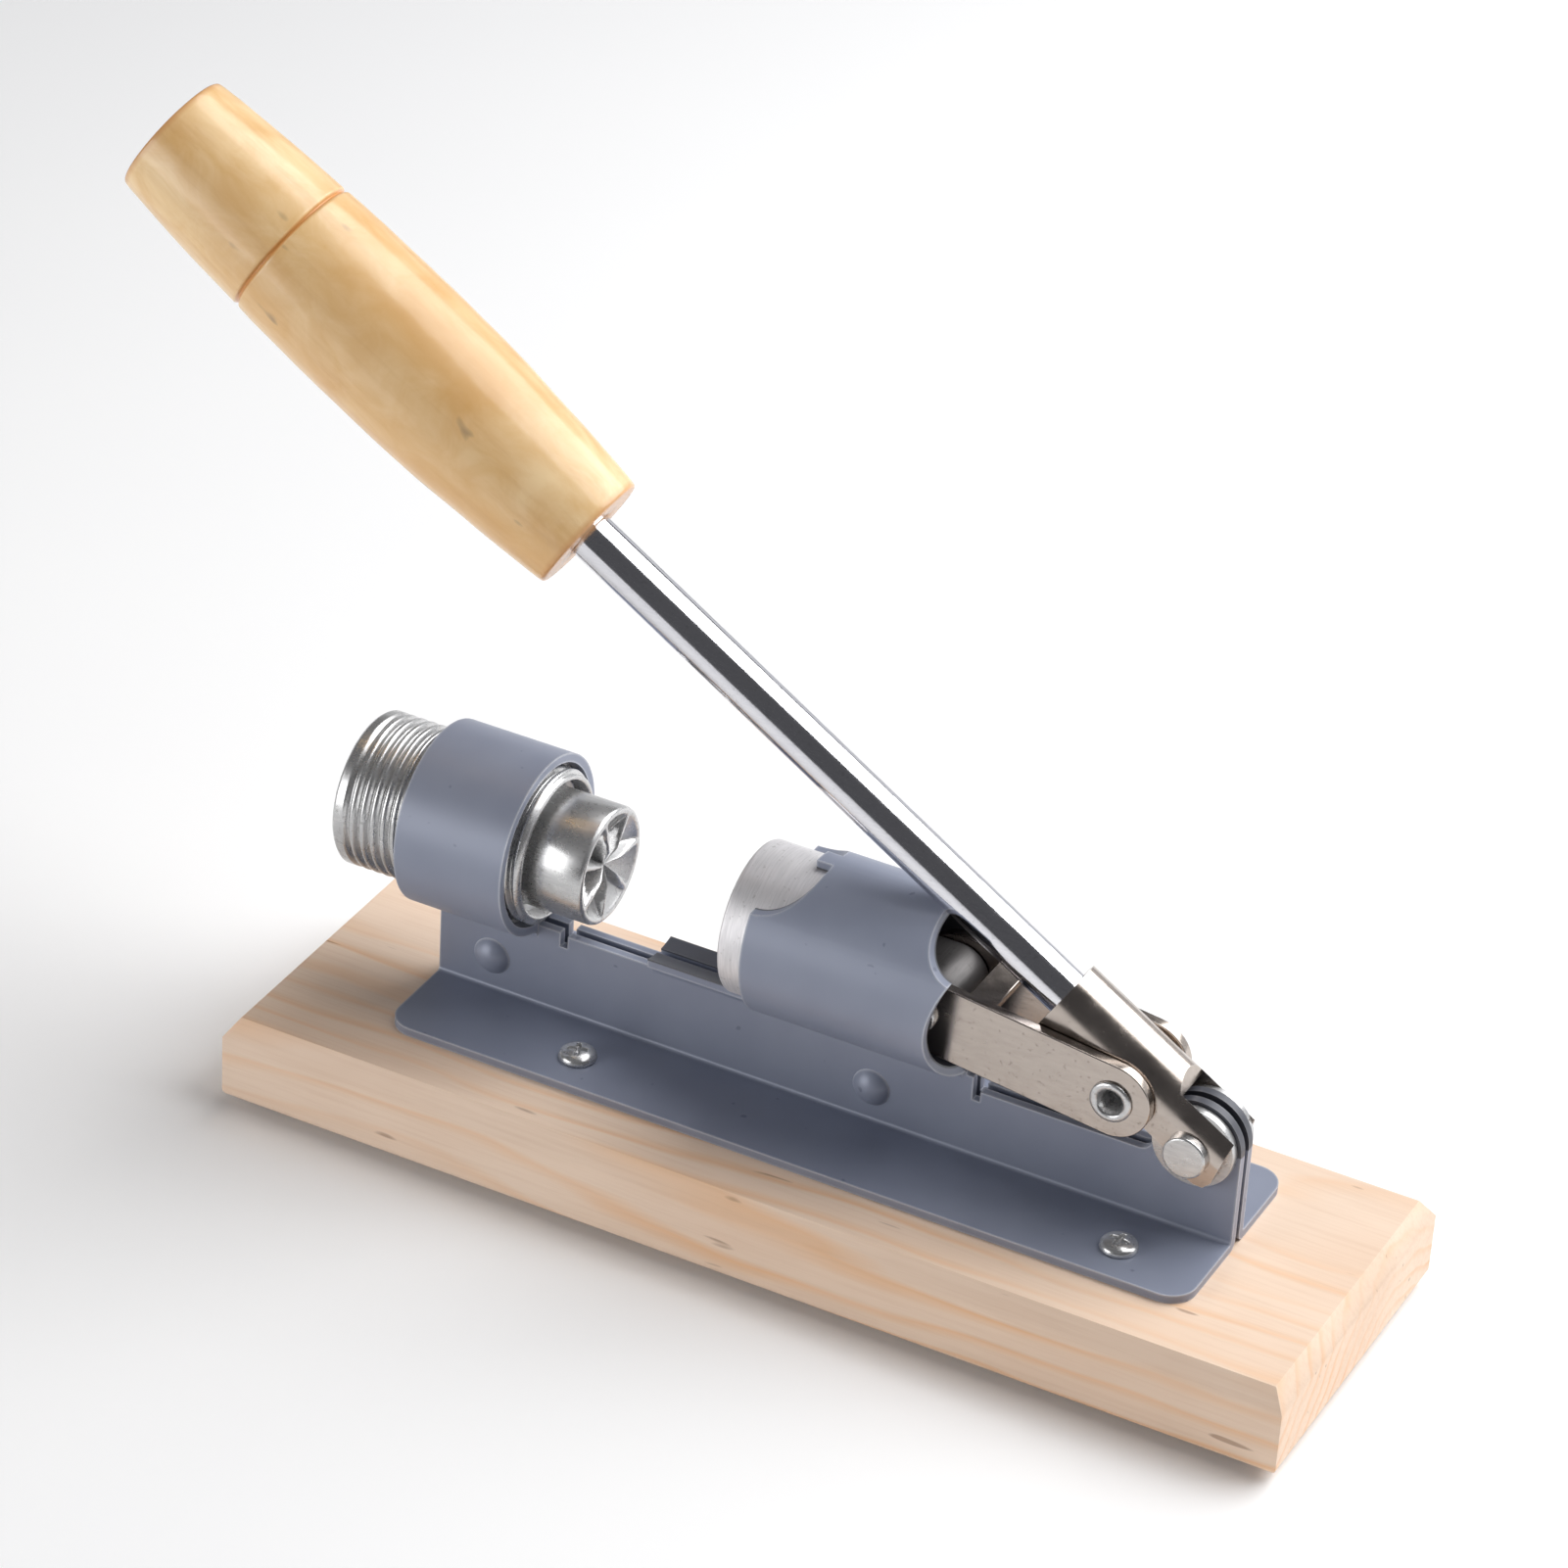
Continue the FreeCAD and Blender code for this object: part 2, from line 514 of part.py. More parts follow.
def make_rod():
    """Chromed lever rod from the yoke into the grip."""
    rod = along_lever((ROD_U0, GRIP_U + ROD_IN_GRIP), ROD_R)
    return rod.makeChamfer(0.8, [e for e in rod.Edges if len(e.Vertexes) == 1])


def make_grip():
    """Turned barrel grip with one groove, bored for the rod."""
    outline = [V(r, 0, s) for s, r in GRIP_PROFILE]
    curve = Part.BSplineCurve()
    curve.interpolate(outline[1:-1])
    side = [
        Part.makeLine(V(0, 0, 0), outline[0]), Part.makeLine(outline[0], outline[1]), curve.toShape(),
        Part.makeLine(outline[-2], outline[-1]), Part.makeLine(outline[-1], V(0, 0, outline[-1].z)),
        Part.makeLine(V(0, 0, outline[-1].z), V(0, 0, 0)),
    ]
    grip = Part.Face(Part.Wire(side)).revolve(V(0, 0, 0), V(0, 0, 1), 360)
    radius_there = curve.value(curve.parameter(V(16.4, 0, GRIP_GROOVE_S))).x
    notch = [
        V(radius_there + 1, 0, GRIP_GROOVE_S - GRIP_GROOVE_W),
        V(radius_there - GRIP_GROOVE_DEPTH, 0, GRIP_GROOVE_S),
        V(radius_there + 1, 0, GRIP_GROOVE_S + GRIP_GROOVE_W),
    ]
    ring = Part.Face(Part.makePolygon(notch + notch[:1])).revolve(V(0, 0, 0), V(0, 0, 1), 360)
    grip = grip.cut(ring)
    grip = grip.cut(Part.makeCylinder(ROD_R, ROD_IN_GRIP, V(0, 0, 0)))
    grip.rotate(V(0, 0, 0), Y_AXIS, 90 - math.degrees(LEVER_ANGLE))
    start = on_lever(GRIP_U, LEVER_AXIS_V)
    grip.translate(V(start[0], 0, start[1]))
    return grip


NODES = {
    "base_board": make_board,
    "rubber_feet": make_feet,
    "base_screws": make_base_screws,
    "press_frame": make_frame,
    "frame_rivets": make_frame_rivets,
    "screw_bush": make_bush,
    "adjusting_screw": make_adjusting_screw,
    "anvil_cup": make_anvil_cup,
    "anvil_clip": make_anvil_clip,
    "ram": make_ram,
    "ram_pin": make_ram_pin,
    "toggle_link": make_link,
    "link_rivet": make_link_rivet,
    "lever_yoke": make_yoke,
    "pivot_pin": make_pivot_pin,
    "pivot_clip": make_pivot_clip,
    "pivot_spacers": make_pivot_spacers,
    "lever_rod": make_rod,
    "handle_grip": make_grip,
}

os.makedirs("parts", exist_ok=True)
shapes = {name: make() for name, make in NODES.items()}

# the grip's free end is the object's leftmost point, the board its widest and rightmost piece
leftmost = shapes["handle_grip"].optimalBoundingBox(False).XMin
to_origin = V(-(leftmost + BOARD_L / 2) / 2, -BOARD_Y, FOOT_H)

for name, shape in shapes.items():
    shape.translate(to_origin)
    shape.exportStep("parts/" + name + ".step")
    print(name, "valid", shape.isValid(), "solids", len(shape.Solids), "volume", round(shape.Volume, 1))
print("origin moved by", to_origin)
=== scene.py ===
"""Looks of the bench lever nutcracker: materials, detailed pieces, studio and camera."""

import json
import math

import bmesh
import bpy
from mathutils import Matrix, Vector, noise


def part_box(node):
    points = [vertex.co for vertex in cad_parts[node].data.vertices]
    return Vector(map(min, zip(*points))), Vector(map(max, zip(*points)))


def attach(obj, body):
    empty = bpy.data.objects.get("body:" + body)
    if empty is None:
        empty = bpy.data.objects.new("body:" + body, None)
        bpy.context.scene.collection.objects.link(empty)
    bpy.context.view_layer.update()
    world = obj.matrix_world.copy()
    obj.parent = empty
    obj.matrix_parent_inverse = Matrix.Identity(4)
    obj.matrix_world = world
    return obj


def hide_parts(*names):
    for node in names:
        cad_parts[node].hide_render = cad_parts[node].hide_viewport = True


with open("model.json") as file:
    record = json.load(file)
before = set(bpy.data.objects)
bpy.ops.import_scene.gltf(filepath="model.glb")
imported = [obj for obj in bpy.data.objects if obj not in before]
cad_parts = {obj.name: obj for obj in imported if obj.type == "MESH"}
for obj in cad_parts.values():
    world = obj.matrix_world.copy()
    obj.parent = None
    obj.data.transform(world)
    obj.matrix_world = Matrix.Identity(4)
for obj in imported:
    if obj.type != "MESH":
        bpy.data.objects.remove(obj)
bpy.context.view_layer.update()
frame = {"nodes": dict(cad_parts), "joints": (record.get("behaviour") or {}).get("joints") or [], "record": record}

MM = 0.001
NODES = frame["nodes"]
JOINT = {joint["name"]: joint for joint in frame["joints"]}

# ---------------------------------------------------------------- places, from the frame and a few given sizes
PIVOT = Vector(JOINT["lever_hinge"]["pos_m"])
BUSH_LOW, BUSH_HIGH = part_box("screw_bush")
AXIS_Z = (BUSH_LOW.z + BUSH_HIGH.z) / 2
SCREW_LOW, SCREW_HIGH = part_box("adjusting_screw")
CUP_LOW, CUP_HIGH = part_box("anvil_cup")
BOARD_LOW, BOARD_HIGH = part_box("base_board")
RAM_LOW, RAM_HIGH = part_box("ram")
RAM_R = (RAM_HIGH.z - RAM_LOW.z) / 2
RAM_BODY_LENGTH = 28.0 * MM     # the round body; the tongue lies behind it
LEVER_ANGLE = math.radians(148.0)
LEVER_AXIS_V = 2.5 * MM
LEVER_DIR = Vector((math.cos(LEVER_ANGLE), 0, math.sin(LEVER_ANGLE)))
LEVER_UP = Vector((math.sin(LEVER_ANGLE), 0, -math.cos(LEVER_ANGLE)))
GRIP_START = 176.6 * MM
GRIP_LENGTH = 120.0 * MM
GROOVE_S = 85.5 * MM            # the grip's groove, from its lower end
GRIP_ORIGIN = PIVOT + LEVER_UP * LEVER_AXIS_V + LEVER_DIR * GRIP_START
SLEEVE_AXIS = Vector((0, PIVOT.y, AXIS_Z))
CUP_BARREL = 16.9               # length of the anvil cup's barrel, in mm
CAP_SEGMENTS = 144              # of a screw's head and of its cap, so that their rims meet


# ---------------------------------------------------------------- node graph helpers
class Graph:
    """Short way to write a material's nodes."""

    def __init__(self, name):
        self.material = bpy.data.materials.new(name)
        self.material.use_nodes = True
        self.tree = self.material.node_tree
        self.tree.nodes.clear()
        self.out = self.tree.nodes.new("ShaderNodeOutputMaterial")
        self.shader = self.tree.nodes.new("ShaderNodeBsdfPrincipled")
        self.tree.links.new(self.shader.outputs[0], self.out.inputs[0])
        self.coords = self.tree.nodes.new("ShaderNodeTexCoord").outputs["Object"]

    def node(self, kind, **settings):
        made = self.tree.nodes.new("ShaderNode" + kind)
        for key, value in settings.items():
            setattr(made, key, value)
        return made

    def put(self, socket, value):
        """Link a socket, or set a plain value."""
        if isinstance(value, bpy.types.NodeSocket):
            self.tree.links.new(value, socket)
        else:
            socket.default_value = value

    def mapping(self, scale=(1, 1, 1), rotation=(0, 0, 0), location=(0, 0, 0), source=None):
        made = self.node("Mapping")
        self.put(made.inputs["Vector"], source or self.coords)
        made.inputs["Scale"].default_value = scale
        made.inputs["Rotation"].default_value = rotation
        made.inputs["Location"].default_value = location
        return made.outputs[0]

    def parts(self, source=None):
        """X, Y and Z of a point."""
        made = self.node("SeparateXYZ")
        self.put(made.inputs[0], source or self.coords)
        return made.outputs["X"], made.outputs["Y"], made.outputs["Z"]

    def axis_distance(self):
        """Distance from the common axis of the two sleeves."""
        _, y, z = self.parts(self.mapping(location=(0, -PIVOT.y, -AXIS_Z)))
        return self.math("SQRT", self.math("ADD", self.math("MULTIPLY", y, y), self.math("MULTIPLY", z, z)))

    def along_grip(self):
        """Distance from the grip's lower end, along the lever."""
        dot = self.node("VectorMath", operation="DOT_PRODUCT")
        self.put(dot.inputs[0], self.mapping(location=tuple(-GRIP_ORIGIN)))
        dot.inputs[1].default_value = LEVER_DIR
        return dot.outputs["Value"]

    def noise(self, vector, scale, detail=4.0, roughness=0.55, distortion=0.0):
        made = self.node("TexNoise")
        self.put(made.inputs["Vector"], vector)
        made.inputs["Scale"].default_value = scale
        made.inputs["Detail"].default_value = detail
        made.inputs["Roughness"].default_value = roughness
        made.inputs["Distortion"].default_value = distortion
        return made.outputs["Fac"]

    def math(self, operation, a, b=0.0):
        made = self.node("Math", operation=operation)
        self.put(made.inputs[0], a)
        self.put(made.inputs[1], b)
        return made.outputs[0]

    def ramp(self, factor, stops):
        made = self.node("ValToRGB")
        elements = made.color_ramp.elements
        while len(elements) < len(stops):
            elements.new(0.5)
        for element, (position, colour) in zip(elements, stops):
            element.position = position
            element.color = colour if len(colour) == 4 else (*colour, 1)
        self.put(made.inputs[0], factor)
        return made.outputs[0]

    def mix(self, factor, a, b):
        made = self.node("Mix", data_type="RGBA")
        self.put(made.inputs["Factor"], factor)
        for socket, value in ((made.inputs[6], a), (made.inputs[7], b)):
            if isinstance(value, tuple) and len(value) == 3:
                value = (*value, 1)
            self.put(socket, value)
        return made.outputs[2]

    def range(self, value, low, high, to_low=0.0, to_high=1.0):
        made = self.node("MapRange")
        self.put(made.inputs["Value"], value)
        made.inputs["From Min"].default_value = low
        made.inputs["From Max"].default_value = high
        made.inputs["To Min"].default_value = to_low
        made.inputs["To Max"].default_value = to_high
        return made.outputs[0]

    def bump(self, height, strength, distance):
        made = self.node("Bump")
        made.inputs["Strength"].default_value = strength
        made.inputs["Distance"].default_value = distance
        self.put(made.inputs["Height"], height)
        return made.outputs[0]

    def edge(self, radius, low=0.02, high=0.25):
        """1 along sharp edges, 0 on flat faces."""
        bevel = self.node("Bevel", samples=4)
        bevel.inputs["Radius"].default_value = radius
        geometry = self.node("NewGeometry")
        dot = self.node("VectorMath", operation="DOT_PRODUCT")
        self.put(dot.inputs[0], bevel.outputs[0])
        self.put(dot.inputs[1], geometry.outputs["Normal"])
        return self.range(self.math("SUBTRACT", 1.0, dot.outputs["Value"]), low, high)

    def finish(self, colour=None, roughness=None, normal=None, **fixed):
        for name, value in (("Base Color", colour), ("Roughness", roughness), ("Normal", normal)):
            if value is not None:
                self.put(self.shader.inputs[name], value)
        for name, value in fixed.items():
            self.shader.inputs[name.replace("_", " ").title().replace("Ior", "IOR")].default_value = value
        return self.material


def srgb(r, g, b):
    """Linear colour of an 8-bit screen colour."""
    shares = (r / 255, g / 255, b / 255)
    return tuple(c / 12.92 if c <= 0.04045 else ((c + 0.055) / 1.055) ** 2.4 for c in shares)


# ---------------------------------------------------------------- materials
def pine_material():
    """Flat-sawn pine: growth rings round a heart below the rear edge, wandering along the board."""
    g = Graph("pine")
    heart_y, heart_z = 26 * MM, -34 * MM
    place = g.mapping(location=(0, -heart_y, -heart_z))
    wander = g.noise(g.mapping(scale=(5, 22, 22)), 1.0, 3.0)
    _, y, z = g.parts(place)
    square = g.math("ADD", g.math("MULTIPLY", y, y), g.math("MULTIPLY", z, z))
    radius = g.math("ADD", g.math("SQRT", square), g.math("MULTIPLY", wander, 0.022))
    rings = g.math("FRACT", g.math("DIVIDE", radius, 4.6 * MM))
    late = g.ramp(rings, [
        (0.0, (0, 0, 0)), (0.55, (0.10,) * 3), (0.86, (1, 1, 1)), (0.93, (0.5,) * 3), (1.0, (0, 0, 0)),
    ])
    strength = g.range(g.noise(g.mapping(scale=(9, 60, 60)), 1.0, 2.0), 0.35, 0.7, 0.25, 1.0)
    late = g.math("MULTIPLY", late, strength)
    fibre = g.noise(g.mapping(scale=(30, 900, 900)), 1.0, 3.0, 0.65)
    blotch = g.noise(g.mapping(scale=(12, 30, 30)), 1.0, 3.0)
    early = g.mix(g.range(blotch, 0.3, 0.7), srgb(240, 217, 196), srgb(230, 203, 180))
    colour = g.mix(g.math("MULTIPLY", late, 0.8), early, srgb(232, 180, 130))
    colour = g.mix(g.range(fibre, 0.45, 0.75, 0.0, 0.22), colour, srgb(204, 166, 136))
    fleck = g.noise(g.mapping(scale=(60, 420, 420), location=(0.3, 0.1, 0)), 1.0, 1.0)
    colour = g.mix(g.range(fleck, 0.74, 0.79, 0.0, 0.5), colour, srgb(120, 78, 50))
    rough = g.range(fibre, 0.2, 0.8, 0.42, 0.6)
    height = g.math("SUBTRACT", g.math("MULTIPLY", late, 0.6), g.math("MULTIPLY", fibre, 0.6))
    return g.finish(colour, rough, g.bump(height, 0.25, 0.15 * MM), specular_ior_level=0.35)


def grip_material():
    """Varnished hardwood: mottled honey colour, faint streaks along the grip, a few dark marks."""
    g = Graph("grip_wood")
    turn = (0, LEVER_ANGLE, 0)
    along = g.mapping(rotation=turn)
    mottle = g.noise(g.mapping(scale=(75, 115, 115), source=along), 1.0, 5.0, 0.62, 0.6)
    cloud = g.noise(g.mapping(scale=(16, 34, 34), source=along, location=(2, 1, 0)), 1.0, 3.0)
    streak = g.noise(g.mapping(scale=(22, 320, 320), source=along), 1.0, 4.0, 0.6)
    colour = g.mix(g.range(mottle, 0.33, 0.68), srgb(226, 184, 124), srgb(244, 214, 166))
    colour = g.mix(g.range(cloud, 0.42, 0.66, 0.0, 0.7), colour, srgb(214, 164, 100))
    colour = g.mix(g.range(streak, 0.5, 0.8, 0.0, 0.35), colour, srgb(196, 142, 86))
    mark = g.noise(g.mapping(scale=(70, 190, 190), source=along, location=(0.7, 0.2, 0.4)), 1.0, 2.0)
    colour = g.mix(g.range(mark, 0.68, 0.76, 0.0, 0.6), colour, srgb(128, 108, 92))
    s = g.along_grip()
    groove = g.range(g.math("ABSOLUTE", g.math("SUBTRACT", s, GROOVE_S)), 0.2 * MM, 0.65 * MM, 0.85, 0.0)
    colour = g.mix(groove, colour, srgb(206, 138, 66))
    from_middle = g.math("ABSOLUTE", g.math("SUBTRACT", s, GRIP_LENGTH / 2))
    burnt = g.range(from_middle, GRIP_LENGTH / 2 - 1.6 * MM, GRIP_LENGTH / 2 - 0.3 * MM, 0.0, 0.6)
    colour = g.mix(burnt, colour, srgb(200, 132, 72))
    rough = g.range(mottle, 0.3, 0.8, 0.38, 0.52)
    dents = g.noise(g.mapping(scale=(60, 90, 90), source=along, location=(3, 0, 1)), 1.0, 2.0)
    height = g.math("ADD", g.math("MULTIPLY", dents, 1.0), g.math("MULTIPLY", streak, 0.15))
    return g.finish(
        colour, rough, g.bump(height, 0.22, 0.9 * MM),
        coat_weight=0.55, coat_roughness=0.16, specular_ior_level=0.4,
    )


def paint_material():
    """Blue-grey satin paint with fine orange peel, pale sharp edges that are partly bare metal and partly a
    painted highlight, and painted shade in the bore.
    """
    g = Graph("frame_paint")
    cloud = g.noise(g.mapping(scale=(30, 30, 30)), 1.0, 3.0)
    grain = g.noise(g.mapping(scale=(1500, 1500, 1500)), 1.0, 2.0)
    colour = g.mix(g.range(cloud, 0.3, 0.7), srgb(132, 138, 156), srgb(143, 149, 166))
    # pale sharp edges: partly bare metal, partly a painted highlight
    colour = g.mix(g.math("MULTIPLY", g.edge(0.9 * MM), 0.8), colour, srgb(214, 215, 220))
    speck = g.noise(g.mapping(scale=(330, 330, 330), location=(0.5, 0.2, 0.9)), 1.0, 1.0)
    colour = g.mix(g.range(speck, 0.76, 0.8, 0.0, 0.5), colour, srgb(88, 92, 108))
    # painted shade: dark inside the sleeves' bore, over the bare unpainted steel there
    bore = g.range(g.axis_distance(), RAM_R + 0.3 * MM, RAM_R + 0.6 * MM, 0.85, 0.0)
    colour = g.mix(bore, colour, srgb(58, 58, 62))
    rough = g.range(cloud, 0.3, 0.7, 0.36, 0.44)
    return g.finish(colour, rough, g.bump(grain, 0.08, 0.05 * MM), metallic=0.15, specular_ior_level=0.5)


def metal_material(
    name, base, dark, rough_low, rough_high, streak_scale, speck_amount=0.3, edge_wear=0.3,
    streak_amount=0.7, relief=0.12, metallic=1.0, painted_shade_from=None,
):
    """Plated or bare metal with fine directional scratches, small pits and brighter edges.

    Past a given place along X, the metal is painted dark as shade.
    """
    g = Graph(name)
    streak = g.noise(g.mapping(scale=streak_scale), 1.0, 4.0, 0.65)
    cloud = g.noise(g.mapping(scale=(140, 140, 140)), 1.0, 4.0, 0.6)
    speck = g.noise(g.mapping(scale=(900, 900, 900)), 1.0, 1.0)
    colour = g.mix(g.range(streak, 0.35, 0.75, 0.0, streak_amount), base, dark)
    colour = g.mix(g.range(speck, 0.66, 0.74, 0.0, speck_amount), colour, srgb(86, 78, 70))
    colour = g.mix(g.math("MULTIPLY", g.edge(0.35 * MM), edge_wear), colour, (0.93, 0.93, 0.92))
    if painted_shade_from is not None:
        # painted shade: the metal goes dark past the given place along X
        x, _, _ = g.parts()
        colour = g.mix(g.range(x, painted_shade_from, painted_shade_from + 2 * MM, 0.0, 0.88), colour, srgb(52, 48, 46))
    cloudy = g.range(cloud, 0.3, 0.7, rough_low, rough_high)
    rough = g.math("ADD", cloudy, g.range(streak, 0.3, 0.8, 0.0, 0.08))
    height = g.math("ADD", g.math("MULTIPLY", streak, 0.5), g.math("MULTIPLY", cloud, 0.5))
    return g.finish(colour, rough, g.bump(height, relief, 0.06 * MM), metallic=metallic)


def rubber_material():
    """Dark matt rubber with a little dust."""
    g = Graph("foot_rubber")
    grain = g.noise(g.mapping(scale=(700, 700, 700)), 1.0, 3.0)
    dust = g.noise(g.mapping(scale=(90, 90, 90)), 1.0, 4.0)
    colour = g.mix(g.range(dust, 0.35, 0.75), srgb(44, 34, 38), srgb(72, 60, 64))
    return g.finish(colour, g.range(dust, 0.3, 0.7, 0.6, 0.8), g.bump(grain, 0.3, 0.1 * MM))


MATERIAL = {
    "pine": pine_material(),
    "grip_wood": grip_material(),
    "frame_paint": paint_material(),
    "foot_rubber": rubber_material(),
    "zinc_steel": metal_material(
        "zinc_steel", srgb(206, 206, 206), srgb(160, 160, 162), rough_low=0.18, rough_high=0.32,
        streak_scale=(260, 1500, 1500), speck_amount=0.3, edge_wear=0.4,
        streak_amount=0.45, relief=0.05, metallic=0.8,
    ),
    # past its round body the ram is painted dark as shade
    "cast_ram": metal_material(
        "cast_ram", srgb(234, 232, 234), srgb(196, 195, 197), rough_low=0.34, rough_high=0.5,
        streak_scale=(2600, 160, 160), speck_amount=0.25, edge_wear=0.3,
        streak_amount=0.7, relief=0.12, metallic=0.55, painted_shade_from=RAM_LOW.x + RAM_BODY_LENGTH - 2 * MM,
    ),
    "nickel": metal_material(
        "nickel", srgb(186, 176, 168), srgb(154, 144, 136), rough_low=0.12, rough_high=0.24,
        streak_scale=(220, 900, 900), speck_amount=0.3, edge_wear=0.35, streak_amount=0.3, relief=0.05,
    ),
    "chrome": metal_material(
        "chrome", srgb(232, 232, 236), srgb(214, 214, 220), rough_low=0.05, rough_high=0.1,
        streak_scale=(120, 2200, 2200), speck_amount=0.12, edge_wear=0.2,
    ),
}


# ---------------------------------------------------------------- mesh helpers
def make_object(name, vertices, faces):
    """Smooth-shaded mesh object with its faces turned outwards."""
    mesh = bpy.data.meshes.new(name)
    mesh.from_pydata([tuple(v) for v in vertices], [], faces)
    mesh.update()
    bm = bmesh.new()
    bm.from_mesh(mesh)
    bmesh.ops.recalc_face_normals(bm, faces=bm.faces)
    bm.to_mesh(mesh)
    bm.free()
    for polygon in mesh.polygons:
        polygon.use_smooth = True
    made = bpy.data.objects.new(name, mesh)
    bpy.context.scene.collection.objects.link(made)
    return made


def turned(name, origin, direction, rings, segments=128, caps=2):
    """Turned solid. rings is a list of functions or numbers (s, r): s along direction, r from the axis.

    A ring's s and r may each be a function of the angle. caps says how many ends close on the axis: both, the
    first one only, or none, and then the last ring joins the first so that the solid has a hole through it.
    """
    axis = Vector(direction).normalized()
    side = axis.orthogonal().normalized() if abs(axis.y) > 0.9 else Vector((0, -1, 0))
    other = axis.cross(side)
    vertices, faces = [], []
    for s, r in rings:
        for k in range(segments):
            angle = 2 * math.pi * k / segments
            along = s(angle) if callable(s) else s
            radius = r(angle) if callable(r) else r
            outward = side * math.cos(angle) + other * math.sin(angle)
            vertices.append(origin + axis * along + outward * radius)
    for i in range(len(rings) - 1):
        for k in range(segments):
            a, b = i * segments + k, i * segments + (k + 1) % segments
            faces.append((a, b, b + segments, a + segments))
    if caps == 0:
        last = (len(rings) - 1) * segments
        for k in range(segments):
            after = (k + 1) % segments
            faces.append((last + k, last + after, after, k))
    for ring, (s, _) in ((0, rings[0]), (len(rings) - 1, rings[-1]))[:caps]:
        centre = len(vertices)
        vertices.append(origin + axis * (s(0) if callable(s) else s))
        for k in range(segments):
            faces.append((ring * segments + k, ring * segments + (k + 1) % segments, centre))
    return make_object(name, vertices, faces)


def dress(piece, body, slot, *replaced):
    """Material, body and slot of a new piece, and the CAD nodes it stands for."""
    piece.data.materials.clear()
    piece.data.materials.append(MATERIAL[slot])
    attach(piece, body)
    if replaced:
        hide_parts(*replaced)
    return piece


def dress_cad(node, bevel=0.0, angle=35.0):
    """Material and softened edges of a CAD node that stays."""
    shown = NODES[node]
    slot = next(part["material_slot"] for part in frame["record"]["subparts"] if part["node"] == node)
    for slot_index in range(len(shown.material_slots)):
        shown.material_slots[slot_index].material = MATERIAL[slot]
    if bevel:
        shown.data.shade_smooth()
        weld = shown.modifiers.new("weld", "WELD")
        weld.merge_threshold = 1e-6
        flat = shown.modifiers.new("flat", "DECIMATE")
        flat.decimate_type = "DISSOLVE"
        flat.angle_limit = math.radians(1.0)
        soft = shown.modifiers.new("bevel", "BEVEL")
        soft.width = bevel
        soft.segments = 2
        soft.limit_method = "ANGLE"
        soft.angle_limit = math.radians(angle)
        soft.use_clamp_overlap = True
        weighted = shown.modifiers.new("normals", "WEIGHTED_NORMAL")
        weighted.keep_sharp = False


# ---------------------------------------------------------------- pieces
def grip_radius(s):
    """Radius at a distance from the grip's lower end, through a few turned stations."""
    stations = (
        (0.0, 13.8), (13.5, 15.1), (23.5, 15.8), (33.5, 16.5), (45.0, 16.9), (62.0, 17.0),
        (78.0, 16.75), (88.0, 16.3), (99.0, 15.8), (110.0, 15.1), (120.0, 14.2),
    )
    for i in range(len(stations) - 1):
        (s0, r0), (s1, r1) = stations[i], stations[i + 1]
        if s <= s1:
            break
    before = stations[max(i - 1, 0)]
    after = stations[min(i + 2, len(stations) - 1)]
    t = (s - s0) / (s1 - s0)
    m0 = (r1 - before[1]) / max(s1 - before[0], 1e-6) * (s1 - s0)
    m1 = (after[1] - r0) / max(after[0] - s0, 1e-6) * (s1 - s0)
    return (
        (2 * t**3 - 3 * t**2 + 1) * r0 + (t**3 - 2 * t**2 + t) * m0
        + (3 * t**2 - 2 * t**3) * r1 + (t**3 - t**2) * m1
    )


def make_grip():
    """Turned grip: eased ends, one cut groove, and a bore round the rod at the lower end."""
    groove_s, groove_w, groove_depth = GROOVE_S / MM, 0.75, 0.8
    ease = 0.8
    bore_r, bore_depth = 5.6, 60.2          # the rod goes 60 mm into the grip
    rings = [(bore_depth, bore_r - 0.3), (bore_depth, bore_r), (0.5, bore_r), (0.0, bore_r + 0.5)]
    rings += [(0.0, 9.0), (0.0, grip_radius(0) - ease)]
    for k in range(1, 5):
        turn = k / 4 * math.pi / 2
        rings.append((ease - ease * math.cos(turn), grip_radius(0) - ease + ease * math.sin(turn)))
    stations = [ease + (GRIP_LENGTH / MM - 2 * ease) * k / 150 for k in range(1, 150)]
    stations += [groove_s + groove_w * k / 4 for k in range(-6, 7)]
    for s in sorted(stations):
        cut = groove_depth * math.exp(-(((s - groove_s) / (groove_w * 0.62)) ** 2))
        rings.append((s, grip_radius(s) - cut))
    end = GRIP_LENGTH / MM
    for k in range(5):
        turn = k / 4 * math.pi / 2
        rings.append((end - ease + ease * math.sin(turn), grip_radius(end) - ease + ease * math.cos(turn)))
    rings += [(end, grip_radius(end) * 0.6), (end, 3.0)]
    grip = turned("grip_turned", GRIP_ORIGIN, LEVER_DIR, [(s * MM, r * MM) for s, r in rings])
    for vertex in grip.data.vertices:
        spoke = vertex.co - GRIP_ORIGIN
        spoke -= LEVER_DIR * spoke.dot(LEVER_DIR)
        if spoke.length > 9 * MM:
            wobble = noise.noise(vertex.co * 60) * 0.12 + noise.noise(vertex.co * 160) * 0.05
            vertex.co -= spoke.normalized() * (abs(wobble) * MM)
    dress(grip, "lever", "grip_wood", "handle_grip")


